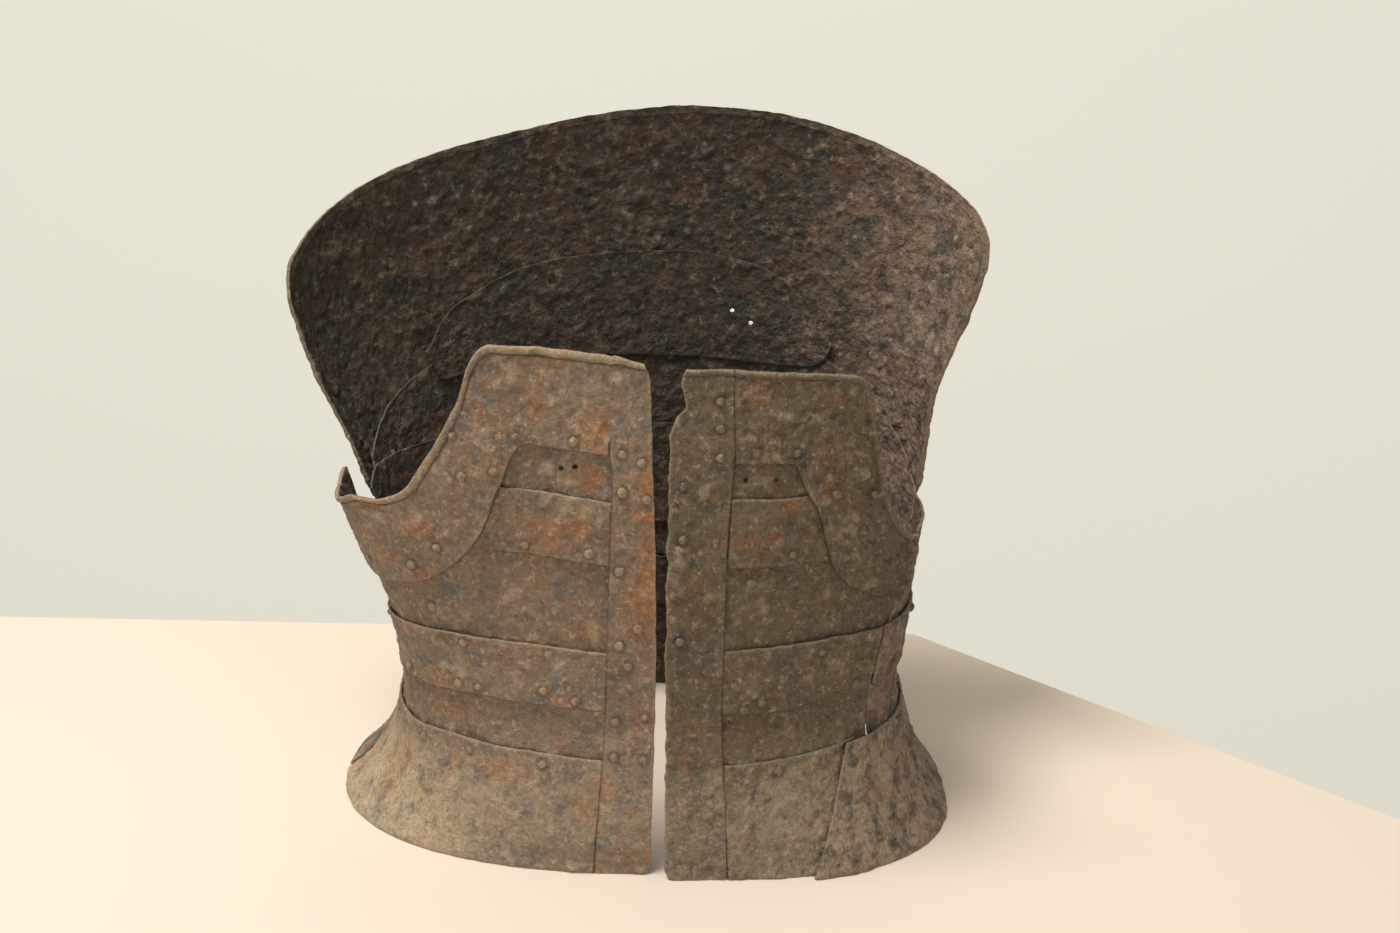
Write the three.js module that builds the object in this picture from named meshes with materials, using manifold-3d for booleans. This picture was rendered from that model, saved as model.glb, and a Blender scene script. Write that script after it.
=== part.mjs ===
// Iron plate cuirass: a short body armour of riveted horizontal iron plates, standing on its hem.
// Millimetres, +Z up. The wearer faces -Y, so the wearer's right side is at -X.
// Every plate is drawn on one body surface, in two coordinates:
//   phi  degrees round the body: 0 at the front, 90 at the wearer's left, 180 at the back
//   z    height above the hem
import * as THREE from 'three';
import Module from 'manifold-3d';

const wasm = await Module();
wasm.setup();

// Plate build-up
const THICK = 2.2;
const SEAM = 0.5;
const LAYER = THICK + SEAM;
const LAP = 16;

// Heights of the tiers
const HEM_TOP = 77;
const PLATE_6_TOP = 109;
const BAND_5_TOP = 152;
const PLATE_4_TOP = 210;
const BAND_3_TOP = 254;
const TUCK = 8;

// Folded edges: the fold stands highest at its crest and drops to the plate over its slope
const RIM_WIDTH = 5;
const HEM_RIM_WIDTH = 6;
const RIM_RISE = 1.5;
const RIM_EDGE_SHARE = 0.6;
const RIM_CREST_SHARE = 0.8;
const RIM_SLOPE = 0.8;

// Rivet heads and lacing holes
const RIVET_RADIUS = 4.1;
const RIVET_RISE = 2.2;
const RIVET_ROOT = 1.2;
const RIVET_CROWN = { radiusShare: 0.72, riseShare: 0.8 };
const RIVET_SIDES = 6;
const HOLE_RADIUS = 2.1;
const HOLE_DEPTH = 12;

// Fineness of the solids: steps round the body in degrees, the others in millimetres
const PHI_STEP = 6;
const STEP_ALONG = 24;
const STEP_ACROSS = 28;
const WAIST_STEP = 13;
const WING_STEP = 40;
const STEP_SLACK = 0.01;

// How far the side of the wearer's right front has sprung outwards
const SPRING = { reach: 13, fromPhi: -35, phiSpan: 60, fromZ: 100, zSpan: 100 };

// Sections of the body surface, inside the plates: z, half width right and left,
// depth of the right front, of the left front and of the back, roundness of the same three
const SECTIONS = [
  [0, 209.4, 200.3, 120.7, 127.4, 136, 2.3, 3, 2.3],
  [20, 189.8, 185.5, 118.9, 123.1, 133.5, 2.33, 2.82, 2.3],
  [40, 178.2, 176.6, 115.8, 118.2, 129, 2.34, 2.6, 2.3],
  [60, 171.6, 169.9, 112.4, 113.7, 124, 2.33, 2.43, 2.3],
  [78, 170, 165.9, 109.6, 110.6, 121, 2.31, 2.31, 2.3],
  [100, 169.5, 163.5, 107.2, 108.2, 118.2, 2.3, 2.3, 2.3],
  [130, 171.5, 165.5, 106, 107, 118, 2.3, 2.3, 2.3],
  [180, 181.5, 171, 105, 106, 123, 2.3, 2.3, 2.3],
  [230, 201, 176.5, 103, 104, 131, 2.3, 2.3, 2.3],
  [280, 226, 182, 99, 100, 138, 2.3, 2.3, 2.3],
  [340, 245.5, 204, 93, 94, 142, 2.3, 2.3, 2.3],
  [400, 253, 225, 88, 88, 143, 2.3, 2.3, 2.3],
  [450, 260, 232, 86, 86, 139, 2.3, 2.3, 2.3],
];

const smoothStep = (x) => {
  const t = Math.min(1, Math.max(0, x));
  return t * t * (3 - 2 * t);
};

// Reads the section table at a height, on a cubic through its rows
function sectionAt(z) {
  const last = SECTIONS.length - 1;
  let row = 0;
  while (row < last - 1 && z > SECTIONS[row + 1][0]) row += 1;
  const [a, b] = [SECTIONS[row], SECTIONS[row + 1]];
  const before = SECTIONS[Math.max(row - 1, 0)];
  const after = SECTIONS[Math.min(row + 2, last)];
  const span = b[0] - a[0];
  const t = (z - a[0]) / span;
  const blend = (col) => {
    const slopeA = (b[col] - before[col]) / (b[0] - before[0]);
    const slopeB = (after[col] - a[col]) / (after[0] - a[0]);
    const rise = b[col] - a[col];
    const cubic = a[col] + t * t * (3 - 2 * t) * rise;
    return cubic + span * t * (1 - t) * ((1 - t) * slopeA - t * slopeB);
  };
  return [1, 2, 3, 4, 5, 6, 7, 8].map(blend);
}

// Point on the body surface, without offset
function bodyPoint(phiDeg, z) {
  const [right, left, frontRight, frontLeft, back, roundRight, roundLeft, roundBack] = sectionAt(z);
  const phi = THREE.MathUtils.degToRad(phiDeg);
  const s = Math.sin(phi);
  const c = Math.cos(phi);
  const half = s < 0 ? right : left;
  const front = s < 0 ? frontRight : frontLeft;
  const roundFront = s < 0 ? roundRight : roundLeft;
  const depth = c > 0 ? front : back;
  const n = c > 0 ? roundFront : roundBack;
  const r = (Math.abs(s / half) ** n + Math.abs(c / depth) ** n) ** (-1 / n);
  return new THREE.Vector3(r * s, -r * c, z);
}

// Level unit vector that points away from the body
function outward(phiDeg, z) {
  const step = 0.2;
  const along = bodyPoint(phiDeg + step, z).sub(bodyPoint(phiDeg - step, z));
  return new THREE.Vector3(along.y, -along.x, 0).normalize();
}

// Point on a plate: the body surface moved out, and sprung on the wearer's right front
function skin(phiDeg, z, offset, sprung) {
  const spread = sprung
    ? SPRING.reach * smoothStep((SPRING.fromPhi - phiDeg) / SPRING.phiSpan)
      * smoothStep((z - SPRING.fromZ) / SPRING.zSpan)
    : 0;
  return bodyPoint(phiDeg, z).addScaledVector(outward(phiDeg, z), offset + spread);
}

function toManifold(points, triangles) {
  const mesh = new wasm.Mesh({
    numProp: 3,
    vertProperties: new Float32Array(points.flatMap((p) => [p.x, p.y, p.z])),
    triVerts: new Uint32Array(triangles.flat()),
  });
  return new wasm.Manifold(mesh);
}

// Stations across a rib: [fraction from foot to head, rise of the folded edge]
function stationsAcross(width, across, options) {
  const foot = options.footRim ?? 0;
  const head = options.headRim ?? 0;
  const start = foot ? foot + RIM_SLOPE : 0;
  const end = head ? width - head - RIM_SLOPE : width;
  const stations = [];
  if (foot) stations.push([0, RIM_EDGE_SHARE * RIM_RISE], [RIM_CREST_SHARE * foot, RIM_RISE]);
  for (let k = 0; k <= across; k += 1) stations.push([start + (end - start) * k / across, 0]);
  if (head) stations.push([width - RIM_CREST_SHARE * head, RIM_RISE], [width, RIM_EDGE_SHARE * RIM_RISE]);
  return stations.map(([distance, rise]) => [distance / width, rise]);
}

// Share of a rib's lift that is left at a fraction of its width: all of it over the lap, none at the head
function liftKept(f, width, options) {
  if (options.liftAll) return 1;
  return Math.min(1, (1 - f) / (1 - LAP / Math.max(width, 2 * LAP)));
}

// Closed plate between the feet and the heads of its ribs.
// ribs: phi of foot, z of foot, phi of head, z of head, layers that the foot is lifted
function plateSolid(ribs, options) {
  const { layer, sprung = false } = options;
  const flat = (rib, f) => [rib[0] + (rib[2] - rib[0]) * f, rib[1] + (rib[3] - rib[1]) * f];
  const place = (rib, f, offset) => skin(...flat(rib, f), offset, sprung);
  const fine = [ribs[0]];
  for (let k = 1; k < ribs.length; k += 1) {
    const [a, b] = [ribs[k - 1], ribs[k]];
    const [feet, heads] = [0, 1].map((end) => place(a, end, 0).distanceTo(place(b, end, 0)));
    const turn = Math.max(Math.abs(b[0] - a[0]), Math.abs(b[2] - a[2]));
    const steps = Math.max(turn / PHI_STEP, feet / STEP_ALONG, heads / STEP_ALONG);
    const count = Math.ceil(steps - STEP_SLACK);
    for (let i = 1; i <= count; i += 1) fine.push(a.map((value, col) => value + (b[col] - value) * i / count));
  }
  const widths = fine.map((rib) => place(rib, 0, 0).distanceTo(place(rib, 1, 0)));
  const across = Math.max(1, Math.round(Math.max(...widths) / (options.stepAcross ?? STEP_ACROSS)));
  const points = [];
  fine.forEach((rib, i) => {
    stationsAcross(widths[i], across, options).forEach(([f, rise]) => {
      const inner = LAYER * (layer + rib[4] * liftKept(f, widths[i], options));
      points.push(place(rib, f, inner), place(rib, f, inner + THICK + rise));
    });
  });
  const rows = fine.length;
  const cols = points.length / 2 / rows;
  const at = (i, j, side) => 2 * (i * cols + j) + side;
  const triangles = [];
  const quad = (a, b, c, d) => triangles.push([a, b, c], [a, c, d]);
  for (let i = 0; i < rows - 1; i += 1) {
    for (let j = 0; j < cols - 1; j += 1) {
      quad(at(i, j, 1), at(i + 1, j, 1), at(i + 1, j + 1, 1), at(i, j + 1, 1));
      quad(at(i, j, 0), at(i, j + 1, 0), at(i + 1, j + 1, 0), at(i + 1, j, 0));
    }
    quad(at(i, 0, 0), at(i + 1, 0, 0), at(i + 1, 0, 1), at(i, 0, 1));
    quad(at(i, cols - 1, 1), at(i + 1, cols - 1, 1), at(i + 1, cols - 1, 0), at(i, cols - 1, 0));
  }
  for (let j = 0; j < cols - 1; j += 1) {
    quad(at(0, j, 1), at(0, j + 1, 1), at(0, j + 1, 0), at(0, j, 0));
    quad(at(rows - 1, j, 0), at(rows - 1, j + 1, 0), at(rows - 1, j + 1, 1), at(rows - 1, j, 1));
  }
  const volume = triangles.reduce((sum, [a, b, c]) => {
    return sum + points[a].dot(new THREE.Vector3().crossVectors(points[b], points[c])) / 6;
  }, 0);
  if (volume < 0) triangles.forEach((t) => t.reverse());
  return toManifold(points, triangles);
}

// Solid of revolution on the plate's outer face; profile: [radius, height over the face]
function turned(profile, sides, phiDeg, z, offset, sprung) {
  const at = (turn, climb) => skin(phiDeg + turn, z + climb, offset, sprung);
  const step = 0.5;
  const centre = at(0, 0);
  const around = at(step, 0).sub(at(-step, 0)).normalize();
  const normal = new THREE.Vector3().crossVectors(around, at(0, step).sub(at(0, -step))).normalize();
  const up = new THREE.Vector3().crossVectors(normal, around);
  const above = (height) => centre.clone().addScaledVector(normal, height);
  const points = [above(profile[0][1])];
  profile.slice(1, -1).forEach(([radius, height]) => {
    for (let k = 0; k < sides; k += 1) {
      const angle = 2 * Math.PI * k / sides;
      const [across, along] = [radius * Math.cos(angle), radius * Math.sin(angle)];
      points.push(above(height).addScaledVector(around, across).addScaledVector(up, along));
    }
  });
  points.push(above(profile[profile.length - 1][1]));
  const rings = profile.length - 2;
  const triangles = [];
  for (let k = 0; k < sides; k += 1) {
    const next = (k + 1) % sides;
    triangles.push([0, 1 + next, 1 + k]);
    for (let ring = 0; ring < rings - 1; ring += 1) {
      const low = 1 + ring * sides;
      const high = low + sides;
      triangles.push([low + k, low + next, high + next], [low + k, high + next, high + k]);
    }
    const top = 1 + (rings - 1) * sides;
    triangles.push([top + k, top + next, points.length - 1]);
  }
  return toManifold(points, triangles);
}

const rivetProfile = [
  [0, -RIVET_ROOT],
  [RIVET_RADIUS, -RIVET_ROOT],
  [RIVET_CROWN.radiusShare * RIVET_RADIUS, RIVET_CROWN.riseShare * RIVET_RISE],
  [0, RIVET_RISE],
];
const holeProfile = [
  [0, -HOLE_DEPTH],
  [HOLE_RADIUS, -HOLE_DEPTH],
  [HOLE_RADIUS, HOLE_DEPTH],
  [0, HOLE_DEPTH],
];

const cuirass = new THREE.Group();

// One named plate. ribs: [phi and z of the foot, phi and z of the head, layers the foot is lifted]
// rivets and holes: [phi, z, layers the plate is lifted there]
function plate(name, finish, ribs, options, rivets = [], holes = []) {
  const face = (lift) => LAYER * (options.layer + lift) + THICK;
  let solid = plateSolid(ribs.map(([a, b, c, d, lift = 0]) => [a, b, c, d, lift]), options);
  rivets.forEach(([phi, z, lift = 0]) => {
    solid = solid.add(turned(rivetProfile, RIVET_SIDES, phi, z, face(lift), options.sprung));
  });
  holes.forEach(([phi, z, lift = 0]) => {
    solid = solid.subtract(turned(holeProfile, RIVET_SIDES, phi, z, face(lift), options.sprung));
  });
  const result = solid.getMesh();
  const geometry = new THREE.BufferGeometry();
  const positions = new Float32Array(result.vertProperties);
  geometry.setAttribute('position', new THREE.BufferAttribute(positions, 3));
  geometry.setIndex([...result.triVerts]);
  geometry.computeVertexNormals();
  const mesh = new THREE.Mesh(geometry, finish);
  mesh.name = name;
  cuirass.add(mesh);
}

const rust = (colour) => new THREE.MeshStandardMaterial({ color: colour, roughness: 0.85, metalness: 0.15 });

// Evenly spaced rivets along a height
const rivetRow = (phiFrom, phiTo, z, count, lift = 0) => Array.from(
  { length: count },
  (_, k) => [phiFrom + (phiTo - phiFrom) * k / (count - 1), z, lift],
);

// Wearer's right front: the sprung panel
const rightFinish = rust('#6a5140');
const RIGHT = { sprung: true };
const RIGHT_STRIP = -17.6;
const RIGHT_STRIP_TOP = -19.2;
const RIGHT_BAND = -18;
const RIGHT_TOP = -19.6;
const RIGHT_SIDE = -92.2;

plate('right_front_strip', rightFinish, [
  [-1.6, 0, -18.2, 0],
  [-1.4, 119, RIGHT_STRIP, 119],
  [-2.6, 214, RIGHT_STRIP, 214],
  [-4.2, 262, RIGHT_STRIP, 262],
  [-5, 290, RIGHT_STRIP_TOP, 288],
  [-6.3, 326, RIGHT_STRIP_TOP, 326],
  [-8.5, 336, RIGHT_STRIP_TOP, 341],
], { layer: 1, ...RIGHT }, [
  [-5, 78], [-14.5, 79], [-5, 107], [-14.5, 103], [-11, 142], [-14, 156], [-8, 168], [-14.5, 206],
  [-6.5, 253], [-14.5, 257], [-8.5, 276], [-15, 281],
]);
plate('right_front_top', rightFinish, [
  [RIGHT_TOP, 279, RIGHT_TOP, 341],
  [-29, 281, -31, 343],
  [-37, 283, -43.5, 345],
  [-42, 284, -51, 345],
  [-44.5, 276, -54, 334, 0.4],
  [-46, 262, -55.5, 310, 1],
  [-47.5, 250, -58, 288, 1],
  [-49, 235, -60.5, 270, 1],
  [-51.5, 219, -65, 246.5, 1],
  [-54.5, 207, -70.5, 236.5, 1],
  [-57.5, 198, -75, 234, 0.7],
  [-61.5, 188, -79.5, 226, 0.25],
  [-67, 180, -84, 219.5, 0.2],
  [-76, 173, -90, 217, 0.2],
  [-94, 167, -97, 220, 0.2],
], { layer: 1, headRim: RIM_WIDTH, ...RIGHT, stepAcross: WAIST_STEP }, [
  [-56, 288], [-44.5, 290], [-30, 288], [-48, 268, 0.7], [-54, 263, 0.8], [-59, 213, 0.9],
  [-65, 196, 0.2], [-78, 184], [-90, 180],
]);
plate('right_front_plate_2', rightFinish, [
  [-5, BAND_3_TOP - TUCK, -6, 284],
  [-31, BAND_3_TOP - TUCK, -31, 289],
  [-49.5, BAND_3_TOP - TUCK, -47.5, 291],
], { layer: 0, ...RIGHT }, [], [[-33, 270], [-29.5, 271]]);
plate('right_front_band_3', rightFinish, [
  [RIGHT_BAND, PLATE_4_TOP - 1, RIGHT_BAND, 250],
  [-35, 212, -35, 255],
  [-43, 214, -43, 257],
  [-53, 214, -47.5, 257],
], { layer: 1, ...RIGHT }, [[-24, 217], [-41, 220]]);
plate('right_front_plate_4', rightFinish, [
  [-3, BAND_5_TOP - TUCK, -4, PLATE_4_TOP + TUCK],
  [-53, BAND_5_TOP - TUCK, -54, PLATE_4_TOP + TUCK - 2],
  [-60, BAND_5_TOP - TUCK, -60.5, 198],
  [-66, BAND_5_TOP - TUCK - 2, -67, 187],
  [-78, 140, -79, 177],
  [-92.4, 140, -95, 173],
], { layer: 0, ...RIGHT, stepAcross: WAIST_STEP }, [[-63, 166]]);
plate('right_front_band_5', rightFinish, [
  [RIGHT_BAND, PLATE_6_TOP, RIGHT_BAND, 150],
  [-42, PLATE_6_TOP + 1, -42, 153],
  [-56, PLATE_6_TOP, -56, 152],
  [-68, 104, -68, 148],
  [-80, 100, -81, 141],
  [RIGHT_SIDE, 97, -92.6, 137],
], { layer: 1, ...RIGHT, stepAcross: WAIST_STEP }, [
  [-27, 116], [-36, 121], [-53, 116], [-58, 115], [-74, 110], [-88, 107],
  [-56, 146], [-35, 147], [-84, 134],
]);
plate('right_front_plate_6', rightFinish, [
  [-2.6, HEM_TOP - TUCK, -2.6, PLATE_6_TOP + TUCK],
  [-58, HEM_TOP - TUCK, -58, PLATE_6_TOP + TUCK],
  [-75, HEM_TOP - TUCK - 4, -75, 110],
  [RIGHT_SIDE, HEM_TOP - TUCK - 4, RIGHT_SIDE, 104],
], { layer: 0, ...RIGHT, stepAcross: WAIST_STEP });
plate('right_front_hem', rightFinish, [
  [-18.6, 0, RIGHT_BAND, HEM_TOP - 1],
  [-38, 0, -38, HEM_TOP + 1],
  [-58, 0, -58, HEM_TOP + 1],
  [-75, 0, -75, HEM_TOP - 4],
  [RIGHT_SIDE, 0, RIGHT_SIDE, HEM_TOP - 4],
], { layer: 1, footRim: HEM_RIM_WIDTH, ...RIGHT, stepAcross: WAIST_STEP }, [
  [-35, 71], [-54, 71], [-67, 67], [-82, 66],
]);

// Wearer's left front
const leftFinish = rust('#57473a');
const LEFT_STRIP_TOP = 22.4;
const LEFT_TOP = 22.8;
const LEFT_SIDE = 75;

plate('left_front_strip', leftFinish, [
  [2.2, 0, 19.6, 0],
  [1.9, 60, 20.4, 60],
  [1.4, 119, 20, 119],
  [0.6, 214, 20.2, 214],
  [0.6, 262, 21.6, 262],
  [0.6, 290, LEFT_STRIP_TOP, 286],
  [2.4, 304, LEFT_STRIP_TOP, 304],
  [5.8, 311, LEFT_STRIP_TOP, 314],
  [4.4, 325, LEFT_STRIP_TOP, 326],
  [5.4, 334, LEFT_STRIP_TOP, 334],
], { layer: 1, stepAcross: WAIST_STEP }, [[18, 315], [18, 298], [18, 280], [6, 262], [6, 228], [6, 160]]);
plate('left_front_top', leftFinish, [
  [LEFT_TOP, 275, LEFT_TOP, 334],
  [33, 275, 37, 332],
  [39, 274, 49.5, 330],
  [40.7, 266, 55.5, 326, 0.5],
  [42.3, 256, 57.5, 306, 1],
  [45, 242, 60, 275, 1],
  [46.5, 227, 62, 250, 1],
  [48.8, 206, 65, 230, 1],
  [54, 189, 69, 216, 0.25],
  [61, 177, 73, 209.5, 0.1],
  [LEFT_SIDE, 170, LEFT_SIDE, 208, 0.1],
], { layer: 1, headRim: RIM_WIDTH }, [
  [29, 283], [40, 282], [49.5, 254, 0.8], [58.5, 250, 0.7], [61, 196],
]);
plate('left_front_plate_2', leftFinish, [
  [2.5, BAND_3_TOP - TUCK, 2.5, 283],
  [31, BAND_3_TOP - TUCK, 31, 283],
  [46.5, BAND_3_TOP - TUCK, 44.5, 283],
], { layer: 0 }, [], [[26, 265], [34.5, 264]]);
plate('left_front_band_3', leftFinish, [
  [20.7, PLATE_4_TOP - 2, 21.9, BAND_3_TOP],
  [34, PLATE_4_TOP - 2, 34, BAND_3_TOP - 1],
  [50.4, PLATE_4_TOP - 1, 44.3, BAND_3_TOP],
], { layer: 1 }, [[39, 216]]);
plate('left_front_plate_4', leftFinish, [
  [3, BAND_5_TOP - TUCK, 3, PLATE_4_TOP + TUCK],
  [50, BAND_5_TOP - TUCK, 50, PLATE_4_TOP + TUCK - 2],
  [59.5, BAND_5_TOP - TUCK, 60.5, 192],
  [67.4, BAND_5_TOP - TUCK, LEFT_SIDE, 180],
], { layer: 0, stepAcross: WAIST_STEP }, [[28, 198]]);
plate('left_front_band_5', leftFinish, [
  [20.4, PLATE_6_TOP - 1, 20.4, BAND_5_TOP + 1],
  [38, PLATE_6_TOP - 2, 38, BAND_5_TOP + 2],
  [50, PLATE_6_TOP + 2, 50, BAND_5_TOP + 3],
  [63, PLATE_6_TOP, 66, BAND_5_TOP],
], { layer: 1, stepAcross: WAIST_STEP }, [[32, 116], [48, 146], [58, 117]]);
plate('left_front_plate_6', leftFinish, [
  [3, HEM_TOP - TUCK, 3, PLATE_6_TOP + TUCK],
  [38, HEM_TOP - TUCK, 38, PLATE_6_TOP + TUCK],
  [61, HEM_TOP - TUCK, 63, PLATE_6_TOP + TUCK],
], { layer: 0, stepAcross: WAIST_STEP });
plate('left_front_hem', leftFinish, [
  [20.1, 0, 20.9, HEM_TOP - 3],
  [31, 0, 38, HEM_TOP - 2],
  [43.5, 0, 58, HEM_TOP + 2],
], { layer: 1, footRim: HEM_RIM_WIDTH, stepAcross: WAIST_STEP }, [[36, 68], [48, 68]]);

// Back, which wraps round the wearer's left side to the front
const backFinish = rust('#4a3d34');
const BACK_END = 267.2;
const BACK_WAIST_END = 266;

plate('back_shoulder', backFinish, [
  [100.5, 202, 99.5, 213, 1],
  [104, 210, 99, 238, 1],
  [109, 222, 99, 272, 1],
  [114, 233, 99, 306, 1],
  [119, 242, 99, 338, 1],
  [124, 250, 100, 362, 1],
  [129, 259, 104, 384, 1],
  [134, 270, 112, 402, 1.15],
  [138.5, 292, 124, 422],
  [147, 315, 136, 436],
  [160, 328, 153, 445.5],
  [175, 334, 172, 447.5],
  [190, 333, 188, 444],
  [205, 327, 203, 437.5],
  [217, 315, 216, 428.5],
  [226.5, 292, 228, 418.5],
  [232, 268, 239, 405, 1.15],
  [238, 257, 250, 384, 1],
  [243, 249, 256.5, 366, 1],
  [248, 240, 261, 350, 1],
  [252, 231, 262.5, 330, 1],
  [255, 222, 262.5, 300, 1],
  [258, 214, 262.5, 264, 1],
  [260.5, 206, 263, 238, 1],
  [263, 199, 263.5, 212, 1],
], { layer: 1, headRim: RIM_WIDTH, stepAcross: WING_STEP }, [
  [106, 222, 1], [116, 245, 1], [127, 264, 1], [143, 314], [158, 334], [175, 341], [192, 339], [207, 332],
  [220, 317], [236, 267, 1], [246, 252, 1], [255, 231, 1],
]);
plate('back_crescent', backFinish, [
  [136.8, 268, 132.3, 285],
  [141, 266, 138, 301],
  [147, 265, 147, 328],
  [156, 266, 156, 338],
  [174, 267, 174, 344],
  [197, 267, 197, 341],
  [210, 266, 210, 336],
  [219, 264, 219, 328],
  [226, 261, 225, 318],
  [231, 258, 232, 303],
  [236, 256, 237.5, 276],
], { layer: 0 }, [], [[159, 302], [154, 294]]);
plate('back_band_3', backFinish, [
  [104, PLATE_4_TOP, 105, 222],
  [110, PLATE_4_TOP, 112, 238],
  [118, PLATE_4_TOP, 120, 252],
  [128, PLATE_4_TOP, 128, 266],
  [135, PLATE_4_TOP, 135, 275],
  [180, PLATE_4_TOP, 180, 277],
  [231, PLATE_4_TOP, 231, 274],
  [240, PLATE_4_TOP, 239, 264],
  [248, PLATE_4_TOP, 247, 250],
  [254, PLATE_4_TOP, 253, 236],
  [260, PLATE_4_TOP - 1, 258.5, 222],
], { layer: 1 }, [...rivetRow(112, 252, PLATE_4_TOP + 7, 8), ...rivetRow(146, 222, 269, 4)]);
plate('back_plate_4', backFinish, [
  [68, BAND_5_TOP - TUCK, 75.2, 180],
  [78, BAND_5_TOP - TUCK, 78, PLATE_4_TOP],
  [96, BAND_5_TOP - TUCK, 96, PLATE_4_TOP],
  [102, BAND_5_TOP - TUCK, 102, PLATE_4_TOP + TUCK],
  [180, BAND_5_TOP - TUCK, 180, PLATE_4_TOP + TUCK],
  [258, BAND_5_TOP - TUCK, 258, PLATE_4_TOP + TUCK],
  [BACK_END, BAND_5_TOP - TUCK, BACK_WAIST_END, PLATE_4_TOP],
], { layer: 0, stepAcross: WAIST_STEP });
plate('back_band_5', backFinish, [
  [64.2, PLATE_6_TOP, 66.3, BAND_5_TOP],
  [72, PLATE_6_TOP, 72, BAND_5_TOP],
  [180, PLATE_6_TOP, 180, BAND_5_TOP],
  [264, PLATE_6_TOP, 264, BAND_5_TOP],
  [BACK_END, PLATE_6_TOP, BACK_END, BAND_5_TOP],
], { layer: 1, stepAcross: WAIST_STEP }, [
  ...rivetRow(72, 264, PLATE_6_TOP + 7, 10),
  ...rivetRow(82, 254, BAND_5_TOP - 7, 9),
]);
plate('back_plate_6', backFinish, [
  [62.6, HEM_TOP - TUCK, 64.4, PLATE_6_TOP + TUCK],
  [72, HEM_TOP - TUCK, 72, PLATE_6_TOP + TUCK],
  [180, HEM_TOP - TUCK, 180, PLATE_6_TOP + TUCK],
  [264, HEM_TOP - TUCK, 264, PLATE_6_TOP + TUCK],
  [BACK_END, HEM_TOP - TUCK, BACK_END, PLATE_6_TOP + TUCK],
], { layer: 0, stepAcross: WAIST_STEP });
plate('back_hem', backFinish, [
  [39.5, 0, 54.5, HEM_TOP + 2, 1.7],
  [44, 0, 60, HEM_TOP + 2, 1.7],
  [60, 0, 66, HEM_TOP],
  [72, 0, 72, HEM_TOP],
  [180, 0, 180, HEM_TOP],
  [264, 0, 264, HEM_TOP],
  [BACK_END, 0, BACK_END, HEM_TOP],
], { layer: 1, footRim: HEM_RIM_WIDTH, liftAll: true, stepAcross: WAIST_STEP }, [
  [58, 70, 1],
  ...rivetRow(76, 262, HEM_TOP - 7, 10),
]);

// The origin is under the middle of the cuirass, at the height of the hem
const bounds = new THREE.Box3().setFromObject(cuirass);
const middle = bounds.getCenter(new THREE.Vector3());
cuirass.position.set(-middle.x, -middle.y, -bounds.min.z);

export default cuirass;
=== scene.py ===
"""Looks of the iron plate cuirass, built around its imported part.

Sizes and places are in millimetres, as on the part, and are turned into metres when a mesh is made.
Every plate lies on one body surface, in two coordinates: phi, degrees round the body (0 at the front,
90 at the wearer's left, 180 at the back), and z, the height above the hem.
"""
import math

import bpy
import numpy as np
from mathutils import Matrix, Vector, noise


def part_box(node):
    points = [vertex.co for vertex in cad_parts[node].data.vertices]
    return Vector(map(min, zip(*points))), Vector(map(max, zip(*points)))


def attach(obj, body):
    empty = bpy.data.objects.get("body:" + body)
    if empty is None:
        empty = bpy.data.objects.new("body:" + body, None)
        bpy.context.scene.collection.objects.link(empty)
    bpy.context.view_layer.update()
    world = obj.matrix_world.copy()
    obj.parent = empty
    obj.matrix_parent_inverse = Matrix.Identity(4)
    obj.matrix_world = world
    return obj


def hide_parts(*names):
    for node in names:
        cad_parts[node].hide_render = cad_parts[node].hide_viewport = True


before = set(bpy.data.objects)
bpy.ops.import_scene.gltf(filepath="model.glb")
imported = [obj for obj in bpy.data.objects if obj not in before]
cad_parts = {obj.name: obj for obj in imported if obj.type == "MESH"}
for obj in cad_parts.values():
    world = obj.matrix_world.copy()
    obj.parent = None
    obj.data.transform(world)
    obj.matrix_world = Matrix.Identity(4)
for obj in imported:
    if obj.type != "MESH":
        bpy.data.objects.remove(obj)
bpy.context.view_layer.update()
MM = 0.001
SCENE = bpy.context.scene

# Plate build-up, as in the part
THICK = 2.2
SEAM = 0.5
LAYER = THICK + SEAM
LAP = 16

# Heights of the tiers
HEM_TOP = 77
PLATE_6_TOP = 109
BAND_5_TOP = 152
PLATE_4_TOP = 210
BAND_3_TOP = 254
TUCK = 8

# Folded edges, rivets and lacing holes
RIM = {"width": 5, "rise": 1.5, "groove": 0.9}
THIN_RIM = {"width": 3.6, "rise": 0.9, "groove": 0.5}
HEM_RIM = {"width": 7.5, "rise": 0.8, "groove": 0.15}
GROOVE_WIDTH = 1.6
RIVET_RADIUS = 2.8
RIVET_RISE = 1.9
RIVET_SWELL = {"height": 0.5, "reach": 5}
RIVET_SPREAD = 0.2
RIVET_CORROSION = {"depth": 2.6, "size": 5}
RIVET_RUBBED = 0.3
HOLE_RADIUS = 1.8

# Spacing of the points on a plate, with closer rows along its edges and across a folded rim
GRAIN = 1.9
EDGE_ROWS = [0, 0.3, 0.8, 1.5]
EDGE_SHARE = 0.15
RIM_ROWS = [0, 0.3, 0.8, 1.5, 2.4, 3.3, 4.1, 4.7, 5.3, 6, 6.8]
RIM_SHARE = 0.6

# Edges: how round they are, how ragged rust has eaten them, how far a butting edge is drawn out,
# and how gradually a joint that has rusted shut fades
OUTER_ROUNDING = 1.0
INNER_ROUNDING = 0.6
EATEN = {"usual": 0.5, "least": 0.6, "size": 9, "octaves": 3}
MEET = 0.6
HEALED_FADE = 8
FAR = 99

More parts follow.
